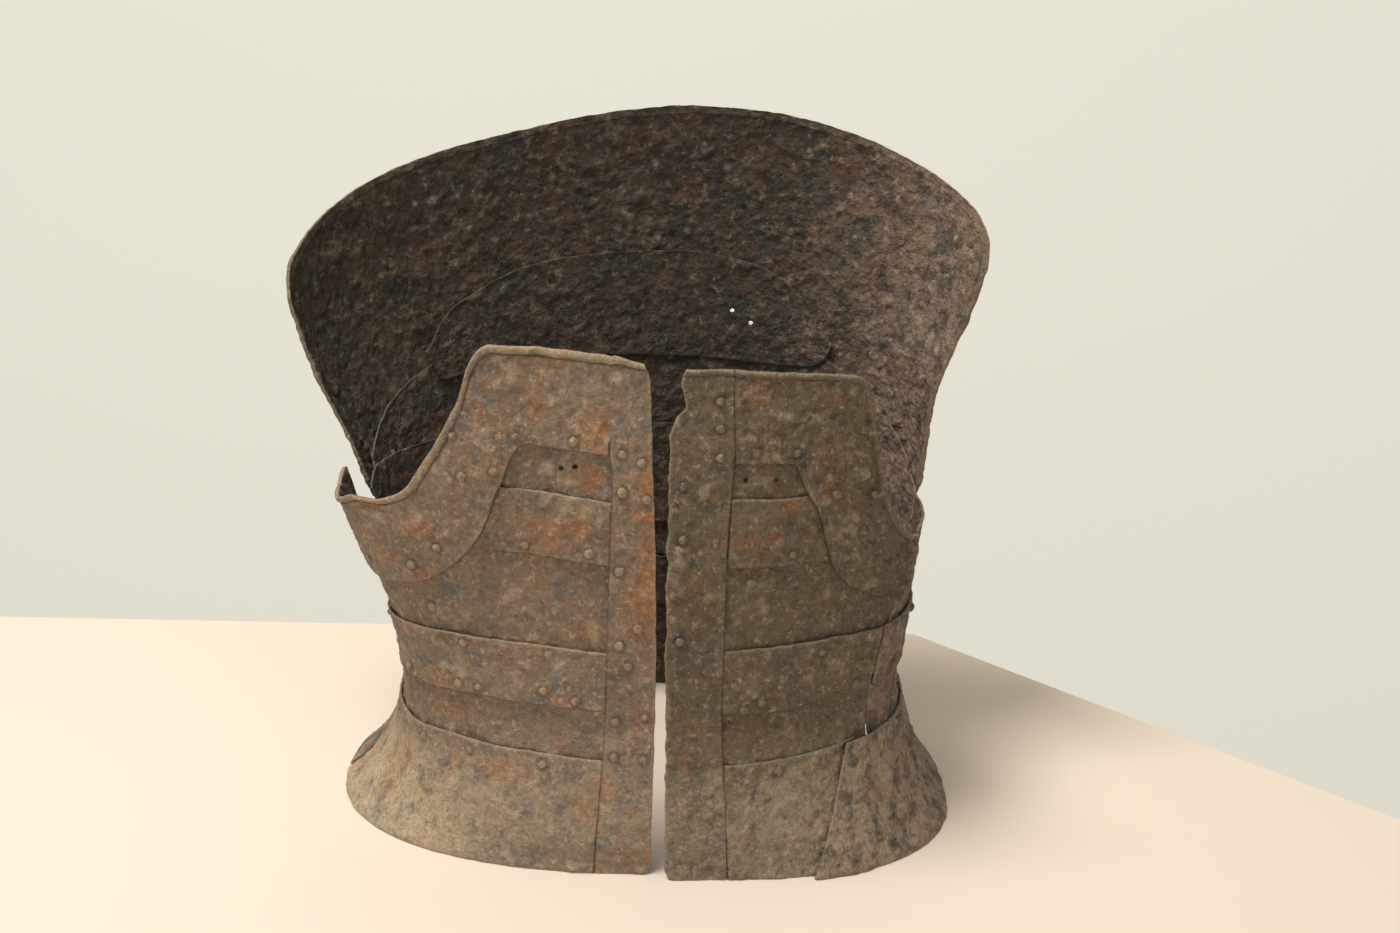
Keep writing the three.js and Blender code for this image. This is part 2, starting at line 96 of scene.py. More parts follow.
# Rust relief: size of the features and height of each kind, and its own place in the noise (shift).
# It is calmer along the edges, and stronger on the inside, where no hand has rubbed it
BUCKLE = {"size": 55, "height": 0.8, "octaves": 2, "shift": 83}
CRUST = {"size": 10, "height": 0.7, "octaves": 3, "shift": 0}
SCAB = {"size": 17, "height": 0.6, "octaves": 4, "shift": 31, "from": 0.06, "slope": 0.14}
GRIT = {"size": 5.5, "height": 0.55, "octaves": 2, "shift": 109}
PIT = {"size": 6.5, "depth": 0.5, "octaves": 2, "shift": 57, "from": 0.16, "slope": 0.25}
CALM = {"width": 4, "least": 0.4}
INNER_SHARE = 1.35
LEAST_WALL = 1.0
PLATE_SHIFT = 13.0
INNER_SHIFT = 200
EDGE_SHIFT = {"foot": 28, "head": 28, "start": 55, "end": 33}

# Soil gathers, together with painted shadow, in a line along a lap or joint, in a ring round a rivet and
# thinly on sheltered inner plates;
# edges and crests are rubbed pale
SOIL_AND_SHADE_LINE = {"width": 1.6, "lap": 0.9, "joint": 0.6}
SHELTERED = 0.13
SOIL_AND_SHADE_RING = {"radius": 3.5, "width": 1.1, "share": 0.6}
RUBBED_EDGE = {"width": 2.0, "outside": 0.45, "inside": 0.12}
RUBBED_RIM = 0.25
RUBBED_CREST = {"from": 0.15, "slope": 0.9, "share": 0.6}
SOILED_PIT = {"from": 0.2, "slope": 0.9, "share": 0.2}

# Painted light: a plate's outside is painted paler where it leans back towards the light from above: the
# upward part of its normal where it starts and its span
UPWARD_PAINTED_LIGHT = {"from": 0.03, "span": 0.4}

# The wearer's left side of the back is paler, partly its own rust tone and partly painted light where the key
# light falls inside that wing: angles round the body where it is full and fades
WING_TONE_AND_PAINTED_LIGHT = {"full": 108, "fade": 45}

# How far the side of the wearer's right front has sprung outwards
SPRING = {"reach": 13, "from_phi": -35, "phi_span": 60, "from_z": 100, "z_span": 100}

# Sections of the body surface, inside the plates: z, half width right and left,
# depth of the right front, of the left front and of the back, roundness of the same three
SECTIONS = np.array([
    [0, 209.4, 200.3, 120.7, 127.4, 136, 2.3, 3, 2.3],
    [20, 189.8, 185.5, 118.9, 123.1, 133.5, 2.33, 2.82, 2.3],
    [40, 178.2, 176.6, 115.8, 118.2, 129, 2.34, 2.6, 2.3],
    [60, 171.6, 169.9, 112.4, 113.7, 124, 2.33, 2.43, 2.3],
    [78, 170, 165.9, 109.6, 110.6, 121, 2.31, 2.31, 2.3],
    [100, 169.5, 163.5, 107.2, 108.2, 118.2, 2.3, 2.3, 2.3],
    [130, 171.5, 165.5, 106, 107, 118, 2.3, 2.3, 2.3],
    [180, 181.5, 171, 105, 106, 123, 2.3, 2.3, 2.3],
    [230, 201, 176.5, 103, 104, 131, 2.3, 2.3, 2.3],
    [280, 226, 182, 99, 100, 138, 2.3, 2.3, 2.3],
    [340, 245.5, 204, 93, 94, 142, 2.3, 2.3, 2.3],
    [400, 253, 225, 88, 88, 143, 2.3, 2.3, 2.3],
    [450, 260, 232, 86, 86, 139, 2.3, 2.3, 2.3],
])


def placed(name, data):
    """A new object at the origin, in the scene."""
    piece = bpy.data.objects.new(name, data)
    SCENE.collection.objects.link(piece)
    return piece


def smooth_step(x):
    t = np.clip(x, 0, 1)
    return t * t * (3 - 2 * t)


def section_at(z):
    """The section table at an array of heights, on a cubic through its rows."""
    heights = SECTIONS[:, 0]
    last = len(SECTIONS) - 1
    row = np.clip(np.searchsorted(heights, z, side="left") - 1, 0, last - 1)
    before = np.maximum(row - 1, 0)
    after = np.minimum(row + 2, last)
    a, b = SECTIONS[row, 1:], SECTIONS[row + 1, 1:]
    span = (heights[row + 1] - heights[row])[:, None]
    t = (z - heights[row])[:, None] / span
    slope_a = (b - SECTIONS[before, 1:]) / (heights[row + 1] - heights[before])[:, None]
    slope_b = (SECTIONS[after, 1:] - a) / (heights[after] - heights[row])[:, None]
    return a + t * t * (3 - 2 * t) * (b - a) + span * t * (1 - t) * ((1 - t) * slope_a - t * slope_b)


def body_points(phi_deg, z):
    """Points of the body surface: a rounded oval at each height."""
    right, left, front_right, front_left, back, round_right, round_left, round_back = section_at(z).T
    s, c = np.sin(np.radians(phi_deg)), np.cos(np.radians(phi_deg))
    half = np.where(s < 0, right, left)
    front = np.where(s < 0, front_right, front_left)
    depth = np.where(c > 0, front, back)
    n = np.where(c > 0, np.where(s < 0, round_right, round_left), round_back)
    r = (np.abs(s / half) ** n + np.abs(c / depth) ** n) ** (-1 / n)
    return np.stack([r * s, -r * c, z], axis=1)


def skin(phi_deg, z, offset, sprung=False):
    """Points of the body surface, moved outwards, and sprung on the wearer's right front."""
    phi_deg, z = np.asarray(phi_deg, float), np.asarray(z, float)
    step = 0.2
    along = body_points(phi_deg + step, z) - body_points(phi_deg - step, z)
    out = np.stack([along[:, 1], -along[:, 0], np.zeros(len(z))], axis=1)
    out /= np.linalg.norm(out, axis=1)[:, None]
    spread = 0
    if sprung:
        side = smooth_step((SPRING["from_phi"] - phi_deg) / SPRING["phi_span"])
        spread = SPRING["reach"] * side * smooth_step((z - SPRING["from_z"]) / SPRING["z_span"])
    return body_points(phi_deg, z) + out * np.reshape(offset + spread, (-1, 1))


def smooth_through(x, rows, at):
    """A curve through the rows of a table that never swings past them."""
    gaps = np.diff(x)
    slope = np.diff(rows, axis=0) / gaps[:, None]
    product = slope[:-1] * slope[1:]
    total = slope[:-1] + slope[1:]
    inner = np.where(product > 0, 2 * product / np.where(total == 0, 1, total), 0)
    tangent = np.vstack([slope[:1], inner, slope[-1:]])
    k = np.clip(np.searchsorted(x, at, side="right") - 1, 0, len(x) - 2)
    h = gaps[k][:, None]
    t = (at - x[k])[:, None] / h
    rise = rows[k + 1] - rows[k]
    bend = h * t * (1 - t) * ((1 - t) * tangent[k] - t * tangent[k + 1])
    return rows[k] + t * t * (3 - 2 * t) * rise + bend


def field(points, kind, shift):
    """Fractal noise of one kind, about -1 to 1, over points in millimetres, in a piece of the noise."""
    places = points / kind["size"] + (shift + kind.get("shift", 0))
    return np.array([noise.fractal(p, 1.0, 2.0, kind["octaves"]) for p in places.tolist()])


def spread(lengths, first_rim=False, last_rim=False):
    """Distances from edge to edge, a row for each length: close steps at both edges, even ones between."""
    lengths = np.reshape(lengths, (-1, 1))
    edges = []
    for rim in (first_rim, last_rim):
        rows = np.array(RIM_ROWS if rim else EDGE_ROWS)
        reach = np.minimum(rows[-1], lengths * (RIM_SHARE if rim else EDGE_SHARE))
        edges.append((rows[:-1] / rows[-1], reach))
    (first, first_reach), (last, last_reach) = edges
    room = lengths - first_reach - last_reach
    between = first_reach + room * np.linspace(0, 1, max(2, round(room.max() / GRAIN)) + 1)
    return np.hstack([first_reach * first, between, lengths - last_reach * last[::-1]])


def rounding(distance, radius):
    """How far a surface falls at a rounded edge."""
    x = 1 - np.clip(distance / radius, 0, 1)
    return radius * (1 - np.sqrt(1 - x * x))


def read_along(at, along, values):
    """A column of the ribs at distances along the plate, carried straight on past its ends."""
    before = np.minimum(at - along[0], 0) * (values[1] - values[0]) / (along[1] - along[0])
    after = np.maximum(at - along[-1], 0) * (values[-1] - values[-2]) / (along[-1] - along[-2])
    return np.interp(at, along, values) + before + after


def folded(distance, rim):
    """Height of a folded edge over the plate: a round bead with a groove along its inner side."""
    bead = np.sqrt(np.clip(1 - (2 * distance / rim["width"] - 1) ** 2, 0, 1))
    groove = np.exp(-((distance - rim["width"]) / (GROOVE_WIDTH / 2)) ** 2)
    return rim["rise"] * bead - rim["groove"] * groove


def rivet_row(phi_from, phi_to, z, count):
    """Rivets in an even row round the body."""
    return [[phi_from + (phi_to - phi_from) * k / (count - 1), z] for k in range(count)]


# Angles that plates share, round the body
RIGHT_STRIP = -17.6
RIGHT_STRIP_TOP = -19.2
RIGHT_BAND = -18
RIGHT_TOP = -19.6
RIGHT_SIDE = -92.2
LEFT_STRIP_TOP = 22.4
LEFT_TOP = 22.8
LEFT_SIDE = 75
BACK_END = 267.2
BACK_WAIST_END = 266

# The plates, in the part's own rows.
# ribs: [phi and z of the foot, phi and z of the head, layers the foot is lifted]
# rivets: [phi, z, layers the plate is lifted there]
# holes: [phi, z], open to the other side
# blooms: orange rust: [phi, z, reach]
# worn: how far each edge is eaten away; rough: the relief against the usual one
# meets: the side that butts against its neighbour, and is drawn out to it instead of eaten
# healed: the height above which that joint has rusted shut, so that it doesn't show
PLATES = {
    "right_front_strip": {"layer": 1, "meets": "head", "healed": 288, "end_rim": RIM, "blooms": [
        [-7, 261, 11], [-5, 243, 10], [-4, 222, 11], [-4, 204, 12], [-5, 184, 11], [-8, 166, 9],
    ], "ribs": [
        [-4.4, 0, -18.2, 0],
        [-2.7, 1.6, -18.2, 1.6],
        [-1.9, 4, -18.2, 4],
        [-1.6, 8, -18.1, 8],
        [-1.4, 119, RIGHT_STRIP, 119],
        [-2.6, 214, RIGHT_STRIP, 214],
        [-4.2, 262, RIGHT_STRIP, 262],
        [-5, 290, RIGHT_STRIP_TOP, 288],
        [-6.3, 326, RIGHT_STRIP_TOP, 326],
        [-8.5, 336, RIGHT_STRIP_TOP, 341],
    ], "rivets": [
        [-5, 78], [-14.5, 79], [-5, 107], [-14.5, 103], [-11, 142], [-14, 156], [-8, 168], [-14.5, 206],
        [-6.5, 253], [-14.5, 257], [-8.5, 276], [-15, 281],
    ]},
    "right_front_top": {"layer": 1, "meets": "start", "healed": 288, "head_rim": RIM, "blooms": [
        [-24, 293, 12], [-72, 240, 11], [-62, 223, 9],
    ], "ribs": [
        [RIGHT_TOP, 279, RIGHT_TOP, 341],
        [-29, 281, -31, 343],
        [-37, 283, -43.5, 345],
        [-42, 284, -51, 345],
        [-44.5, 276, -54, 334, 0.4],
        [-46, 262, -55.5, 310, 1],
        [-47.5, 250, -58, 288, 1],
        [-49, 235, -60.5, 270, 1],
        [-51.5, 219, -65, 246.5, 1],
        [-54.5, 207, -70.5, 236.5, 1],
        [-57.5, 198, -75, 234, 0.7],
        [-61.5, 188, -79.5, 226, 0.25],
        [-67, 180, -84, 219.5, 0.2],
        [-76, 173, -90, 217, 0.2],
        [-94, 167, -97, 220, 0.2],
    ], "rivets": [
        [-56, 288], [-44.5, 290], [-30, 288], [-48, 268, 0.7], [-54, 263, 0.8], [-59, 213, 0.9],
        [-65, 196, 0.2], [-78, 184], [-90, 180],
    ]},
    "right_front_plate_2": {"layer": 0, "rough": 1.1, "blooms": [[-25, 265, 8]], "ribs": [
        [-5, BAND_3_TOP - TUCK, -6, 284],
        [-31, BAND_3_TOP - TUCK, -31, 289],
        [-49.5, BAND_3_TOP - TUCK, -47.5, 291],
    ], "holes": [[-33, 270], [-29.5, 271]]},
    "right_front_band_3": {"layer": 1, "meets": "start", "rough": 1.3, "blooms": [
        [-37, 229, 12], [-27, 232, 9],
    ], "ribs": [
        [RIGHT_BAND, PLATE_4_TOP - 1, RIGHT_BAND, 250],
        [-35, 212, -35, 255],
        [-43, 214, -43, 257],
        [-53, 214, -47.5, 257],
    ], "rivets": [[-24, 217], [-41, 220]]},
    "right_front_plate_4": {"layer": 0, "worn": {"end": 2.5}, "ribs": [
        [-3, BAND_5_TOP - TUCK, -4, PLATE_4_TOP + TUCK],
        [-53, BAND_5_TOP - TUCK, -54, PLATE_4_TOP + TUCK - 2],
        [-60, BAND_5_TOP - TUCK, -60.5, 198],
        [-66, BAND_5_TOP - TUCK - 2, -67, 187],
        [-78, 140, -79, 177],
        [-92.4, 140, -95, 173],
    ], "rivets": [[-63, 166]]},
    "right_front_band_5": {"layer": 1, "meets": "start", "worn": {"end": 2.5}, "ribs": [
        [RIGHT_BAND, PLATE_6_TOP, RIGHT_BAND, 150],
        [-42, PLATE_6_TOP + 1, -42, 153],
        [-56, PLATE_6_TOP, -56, 152],
        [-68, 104, -68, 148],
        [-80, 100, -81, 141],
        [RIGHT_SIDE, 97, -92.6, 137],
    ], "rivets": [
        [-27, 116], [-36, 121], [-53, 116], [-58, 115], [-74, 110], [-88, 107],
        [-56, 146], [-35, 147], [-84, 134],
    ]},
    "right_front_plate_6": {"layer": 0, "worn": {"end": 2.5}, "ribs": [
        [-2.6, HEM_TOP - TUCK, -2.6, PLATE_6_TOP + TUCK],
        [-58, HEM_TOP - TUCK, -58, PLATE_6_TOP + TUCK],
        [-75, HEM_TOP - TUCK - 4, -75, 110],
        [RIGHT_SIDE, HEM_TOP - TUCK - 4, RIGHT_SIDE, 104],
    ]},
    "right_front_hem": {"layer": 1, "meets": "start", "foot_rim": HEM_RIM, "rough": 0.8, "worn": {
        "end": 3,
    }, "ribs": [
        [-18.6, 0, RIGHT_BAND, HEM_TOP - 1],
        [-38, 0, -38, HEM_TOP + 1],
        [-58, 0, -58, HEM_TOP + 1],
        [-75, 0, -75, HEM_TOP - 4],
        [RIGHT_SIDE, 0, RIGHT_SIDE, HEM_TOP - 4],
    ], "rivets": [[-35, 71], [-54, 71], [-67, 67], [-82, 66]]},
    "left_front_strip": {"layer": 1, "meets": "head", "end_rim": THIN_RIM, "rough": 1.3, "worn": {
        "foot": 1.2,
    }, "ribs": [
        [4.8, 0, 19.6, 0],
        [3.2, 1.6, 19.6, 1.6],
        [2.5, 4, 19.6, 4],
        [2.2, 8, 19.7, 8],
        [1.9, 60, 20.4, 60],
        [1.4, 119, 20, 119],
        [0.6, 214, 20.2, 214],
        [0.6, 262, 21.6, 262],
        [0.6, 290, LEFT_STRIP_TOP, 286],
        [2.4, 304, LEFT_STRIP_TOP, 304],
        [5.8, 311, LEFT_STRIP_TOP, 314],
        [4.4, 325, LEFT_STRIP_TOP, 326],
        [5.4, 334, LEFT_STRIP_TOP, 334],
    ], "rivets": [[18, 315], [18, 298], [18, 280], [6, 262], [6, 228], [6, 160]]},
    "left_front_top": {"layer": 1, "meets": "start", "head_rim": THIN_RIM, "rough": 1.7, "worn": {
        "end": 2,
    }, "blooms": [[29, 320, 7], [48, 258, 8]], "ribs": [
        [LEFT_TOP, 275, LEFT_TOP, 334],
        [33, 275, 37, 332],
        [39, 274, 49.5, 330],
        [40.7, 266, 55.5, 326, 0.5],
        [42.3, 256, 57.5, 306, 1],
        [45, 242, 60, 275, 1],
        [46.5, 227, 62, 250, 1],
        [48.8, 206, 65, 230, 1],
        [54, 189, 69, 216, 0.25],
        [61, 177, 73, 209.5, 0.1],
        [LEFT_SIDE, 170, LEFT_SIDE, 208, 0.1],
    ], "rivets": [[29, 283], [40, 282], [49.5, 254, 0.8], [58.5, 250, 0.7], [61, 196]]},
    "left_front_plate_2": {"layer": 0, "ribs": [
        [2.5, BAND_3_TOP - TUCK, 2.5, 283],
        [31, BAND_3_TOP - TUCK, 31, 283],
        [46.5, BAND_3_TOP - TUCK, 44.5, 283],
    ], "holes": [[26, 265], [34.5, 264]]},
    "left_front_band_3": {"layer": 1, "meets": "start", "rough": 1.2, "blooms": [
        [27, 223, 9], [34, 229, 6], [38, 250, 7],
    ], "ribs": [
        [20.7, PLATE_4_TOP - 2, 21.9, BAND_3_TOP],
        [34, PLATE_4_TOP - 2, 34, BAND_3_TOP - 1],
        [50.4, PLATE_4_TOP - 1, 44.3, BAND_3_TOP],
    ], "rivets": [[39, 216]]},
    "left_front_plate_4": {"layer": 0, "worn": {"end": 2}, "ribs": [
        [3, BAND_5_TOP - TUCK, 3, PLATE_4_TOP + TUCK],
        [50, BAND_5_TOP - TUCK, 50, PLATE_4_TOP + TUCK - 2],
        [59.5, BAND_5_TOP - TUCK, 60.5, 192],
        [67.4, BAND_5_TOP - TUCK, LEFT_SIDE, 180],
    ], "rivets": [[28, 198]]},
    "left_front_band_5": {"layer": 1, "meets": "start", "worn": {"end": 1.5}, "ribs": [
        [20.4, PLATE_6_TOP - 1, 20.4, BAND_5_TOP + 1],
        [38, PLATE_6_TOP - 2, 38, BAND_5_TOP + 2],
        [50, PLATE_6_TOP + 2, 50, BAND_5_TOP + 3],
        [63, PLATE_6_TOP, 66, BAND_5_TOP],
    ], "rivets": [[32, 116], [48, 146], [58, 117]]},
    "left_front_plate_6": {"layer": 0, "ribs": [
        [3, HEM_TOP - TUCK, 3, PLATE_6_TOP + TUCK],
        [38, HEM_TOP - TUCK, 38, PLATE_6_TOP + TUCK],
        [62, HEM_TOP - TUCK, 63.9, PLATE_6_TOP + TUCK],
    ]},
    "left_front_hem": {"layer": 1, "meets": "start", "foot_rim": HEM_RIM, "rough": 1.5, "ribs": [
        [20.1, 0, 20.9, HEM_TOP - 3],
        [31, 0, 38, HEM_TOP - 2],
        [43.5, 0, 58, HEM_TOP + 2],
    ], "rivets": [[36, 68], [48, 68]]},
    "back_shoulder": {"layer": 1, "head_rim": RIM, "rough": 1.2, "ribs": [
        [100.5, 202, 99.5, 213, 1],
        [104, 210, 99, 238, 1],
        [109, 222, 99, 272, 1],
        [114, 233, 99, 306, 1],
        [119, 242, 99, 338, 1],
        [124, 250, 100, 362, 1],
        [129, 259, 104, 384, 1],
        [134, 270, 112, 402, 1.15],
        [138.5, 292, 124, 422],
        [147, 315, 136, 436],
        [160, 328, 153, 445.5],
        [175, 334, 172, 447.5],
        [190, 333, 188, 444],
        [205, 327, 203, 437.5],
        [217, 315, 216, 428.5],
        [226.5, 292, 228, 418.5],
        [232, 268, 239, 405, 1.15],
        [238, 257, 250, 384, 1],
        [243, 249, 256.5, 366, 1],
        [248, 240, 261, 350, 1],
        [252, 231, 262.5, 330, 1],
        [255, 222, 262.5, 300, 1],
        [258, 214, 262.5, 264, 1],
        [260.5, 206, 263, 238, 1],
        [263, 199, 263.5, 212, 1],
    ], "rivets": [
        [106, 222, 1], [116, 245, 1], [127, 264, 1], [143, 314], [158, 334], [175, 341], [192, 339],
        [207, 332], [220, 317], [236, 267, 1], [246, 252, 1], [255, 231, 1],
    ]},
    "back_crescent": {"layer": 0, "ribs": [
        [133.6, 275, 132.3, 285],
        [135, 270, 133.6, 289.5],
        [137.6, 267, 135.6, 295],
        [141, 266, 138, 301],
        [147, 265, 147, 328],
        [156, 266, 156, 338],
        [174, 267, 174, 344],
        [197, 267, 197, 341],
        [210, 266, 210, 336],
        [219, 264, 219, 328],
        [226, 261, 225, 318],
        [231, 258, 232, 303],
        [236, 256, 237.5, 276],
    ], "holes": [[159, 302], [154, 294]]},
    "back_band_3": {"layer": 1, "ribs": [
        [104, PLATE_4_TOP, 105, 222],
        [110, PLATE_4_TOP, 112, 238],
        [118, PLATE_4_TOP, 120, 252],
        [128, PLATE_4_TOP, 128, 266],
        [134, PLATE_4_TOP, 134, 275],
        [137, PLATE_4_TOP, 137, 281],
        [141, PLATE_4_TOP, 141, 277],
        [180, PLATE_4_TOP, 180, 277],
        [231, PLATE_4_TOP, 231, 274],
        [240, PLATE_4_TOP, 239, 264],
        [248, PLATE_4_TOP, 247, 250],
        [254, PLATE_4_TOP, 253, 236],
        [260, PLATE_4_TOP - 1, 258.5, 222],
    ], "rivets": [*rivet_row(112, 252, PLATE_4_TOP + 7, 8), *rivet_row(146, 222, 269, 4)]},
    "back_plate_4": {"layer": 0, "worn": {"start": 2}, "ribs": [
        [68, BAND_5_TOP - TUCK, 75.2, 180],
        [78, BAND_5_TOP - TUCK, 78, PLATE_4_TOP],
        [96, BAND_5_TOP - TUCK, 96, PLATE_4_TOP],
        [102, BAND_5_TOP - TUCK, 102, PLATE_4_TOP + TUCK],
        [180, BAND_5_TOP - TUCK, 180, PLATE_4_TOP + TUCK],
        [258, BAND_5_TOP - TUCK, 258, PLATE_4_TOP + TUCK],
        [BACK_END, BAND_5_TOP - TUCK, BACK_WAIST_END, PLATE_4_TOP],
    ]},
    "back_band_5": {"layer": 1, "ribs": [
        [64.2, PLATE_6_TOP, 66.3, BAND_5_TOP],
        [72, PLATE_6_TOP, 72, BAND_5_TOP],
        [180, PLATE_6_TOP, 180, BAND_5_TOP],
        [264, PLATE_6_TOP, 264, BAND_5_TOP],
        [BACK_END, PLATE_6_TOP, BACK_END, BAND_5_TOP],
    ], "rivets": [*rivet_row(72, 264, PLATE_6_TOP + 7, 10), *rivet_row(82, 254, BAND_5_TOP - 7, 9)]},
    "back_plate_6": {"layer": 0, "ribs": [
        [62.6, HEM_TOP - TUCK, 64.4, PLATE_6_TOP + TUCK],
        [72, HEM_TOP - TUCK, 72, PLATE_6_TOP + TUCK],
        [180, HEM_TOP - TUCK, 180, PLATE_6_TOP + TUCK],
        [264, HEM_TOP - TUCK, 264, PLATE_6_TOP + TUCK],
        [BACK_END, HEM_TOP - TUCK, BACK_END, PLATE_6_TOP + TUCK],
    ]},
    "back_hem": {"layer": 1, "foot_rim": HEM_RIM, "lift_all": True, "rough": 1.2, "ribs": [
        [39.5, 0, 54.5, HEM_TOP + 2, 1.7],
        [44, 0, 60, HEM_TOP + 2, 1.7],
        [60, 0, 66, HEM_TOP],
        [72, 0, 72, HEM_TOP],
        [180, 0, 180, HEM_TOP],
        [264, 0, 264, HEM_TOP],
        [BACK_END, 0, BACK_END, HEM_TOP],
    ], "rivets": [[58, 70, 1], *rivet_row(76, 262, HEM_TOP - 7, 10)]},
}
GROUPS = {"right_front": "rust_brown", "left_front": "rust_olive", "back": "rust_umber"}


def rib_curve(spec):
    """The ribs of a plate drawn as smooth edges: distances along it and a rib at each of them."""
    ribs = np.array([rib if len(rib) > 4 else [*rib, 0] for rib in spec["ribs"]], float)
    feet = skin(ribs[:, 0], ribs[:, 1], 0, spec["sprung"])
    heads = skin(ribs[:, 2], ribs[:, 3], 0, spec["sprung"])
    gaps = np.maximum(
        np.linalg.norm(np.diff(feet, axis=0), axis=1), np.linalg.norm(np.diff(heads, axis=0), axis=1)
    )
    marks = np.concatenate([[0], np.cumsum(gaps)])
    along = spread(marks[-1], last_rim="end_rim" in spec)[0]
    return along, smooth_through(marks, ribs, along)


def relief(points, rough, shift):
    """Height of the rust over the plate, and how much of a crest each point is, from -1 to 1."""
    buckle, crust, scab, grit, pit = (field(points, kind, shift) for kind in (BUCKLE, CRUST, SCAB, GRIT, PIT))
    scab = smooth_step((scab - SCAB["from"]) / SCAB["slope"])
    pit = smooth_step((pit - PIT["from"]) / PIT["slope"])
    fine = CRUST["height"] * crust + SCAB["height"] * (scab - 0.5)
    fine = fine + GRIT["height"] * grit - PIT["depth"] * pit
    return rough * fine + BUCKLE["height"] * buckle, np.clip(fine, -1, 1)


def eaten(spec, side, line, shift):
    """How far rust has pulled in an edge, at each point of its line; one that meets another is drawn out."""
    if side == spec.get("meets"):
        return np.full(len(line), -MEET)
    worn = spec.get("worn", {}).get(side, EATEN["usual"])
    return worn * (EATEN["least"] + field(line, EATEN, shift + EDGE_SHIFT[side]))


def plate_grid(spec, shift):
    """phi, z and layers lifted at every point of a plate, and the distance of each edge from it."""
    along, ribs = rib_curve(spec)
    feet = skin(ribs[:, 0], ribs[:, 1], 0, spec["sprung"])
    heads = skin(ribs[:, 2], ribs[:, 3], 0, spec["sprung"])
    width = np.linalg.norm(heads - feet, axis=1)
    from_foot = spread(width, "foot_rim" in spec, "head_rim" in spec)
    from_start = np.broadcast_to(along[:, None], from_foot.shape)
    distance = {
        "foot": from_foot, "head": width[:, None] - from_foot,
        "start": from_start, "end": along[-1] - from_start,
    }
    fraction = from_foot / width[:, None]
    lines = {"foot": feet, "head": heads}
    for side, row in (("start", 0), ("end", -1)):
        lines[side] = feet[row] + (heads[row] - feet[row]) * fraction[row][:, None]
    ragged = {side: eaten(spec, side, line, shift) for side, line in lines.items()}
    gain = ragged["foot"][:, None] * (1 - fraction) - ragged["head"][:, None] * fraction
    pulled = fraction + gain / width[:, None]
    t = along / along[-1]
    slide = ragged["start"][None, :] * (1 - t[:, None]) - ragged["end"][None, :] * t[:, None]
    place = along[:, None] + slide
    phi, z = (
        foot + (head - foot) * pulled
        for foot, head in (
            (read_along(place, along, ribs[:, k]), read_along(place, along, ribs[:, k + 2])) for k in (0, 1)
        )
    )
    lift = np.broadcast_to(ribs[:, 4][:, None], phi.shape)
    if not spec.get("lift_all"):
        left = (1 - pulled) / (1 - LAP / np.maximum(width, 2 * LAP))[:, None]
        lift = lift * np.minimum(1, left)
    return phi, z, lift, distance


def pierce(spec, plain, surfaces):
    """Cells of the grid that stay; a hole leaves some out and has its rim drawn in to a circle."""
    rows, cols = plain.shape[:2]
    kept = np.ones((rows - 1, cols - 1), bool)
    middle = (plain[:-1, :-1] + plain[1:, 1:]) / 2
    for phi, z in spec.get("holes", []):
        gone = np.linalg.norm(middle - skin([phi], [z], 0, spec["sprung"])[0], axis=2) < HOLE_RADIUS
        kept &= ~gone
        touched = np.zeros((rows, cols), bool)
        for di in (0, 1):
            for dj in (0, 1):
                touched[di:rows - 1 + di, dj:cols - 1 + dj] |= gone
        for surface in surfaces:
            ring = surface[touched.ravel()]
            hub = ring.mean(axis=0)
            reach = np.linalg.norm(ring - hub, axis=1)[:, None]
            surface[touched.ravel()] = hub + (ring - hub) * HOLE_RADIUS / np.maximum(reach, 0.5)
    return kept


def shell_faces(kept, outer, inner):
    """Faces of both sides, and of a wall wherever a kept cell meets none, all pointing outwards."""
    rows, cols = kept.shape[0] + 1, kept.shape[1] + 1
    count = rows * cols
    grid = np.arange(count).reshape(rows, cols)
    a, b, c, d = grid[:-1, :-1], grid[1:, :-1], grid[1:, 1:], grid[:-1, 1:]
    faces = [
        np.stack([a, b, c, d], axis=-1)[kept],
        np.stack([d, c, b, a], axis=-1)[kept] + count,
    ]
    padded = np.pad(kept, 1)
    middle = padded[1:-1, 1:-1]
    for neighbour, first, second in (
        (padded[:-2, 1:-1], d, a), (padded[2:, 1:-1], b, c),
        (padded[1:-1, :-2], a, b), (padded[1:-1, 2:], c, d),
    ):
        border = middle & ~neighbour
        p, q = first[border], second[border]
        faces.append(np.stack([q, p, p + count, q + count], axis=-1))
    faces = np.concatenate(faces)
    normal = np.cross(outer[grid[1, 0]] - outer[grid[0, 0]], outer[grid[0, 1]] - outer[grid[0, 0]])
    if normal @ (outer[grid[0, 0]] - inner[grid[0, 0]]) < 0:
        faces = faces[:, ::-1]
    return faces


def painted_top_light(phi, z, plain, sprung):
    """Where a plate's outside leans back enough to be painted paler, as painted light from above."""
    facing = np.cross(np.gradient(plain, axis=0), np.gradient(plain, axis=1)).reshape(-1, 3)
    facing /= np.linalg.norm(facing, axis=1)[:, None]
    outward = np.sign((facing * (skin(phi, z, 1, sprung) - plain.reshape(-1, 3))).sum(axis=1))
    return smooth_step((outward * facing[:, 2] - UPWARD_PAINTED_LIGHT["from"]) / UPWARD_PAINTED_LIGHT["span"])


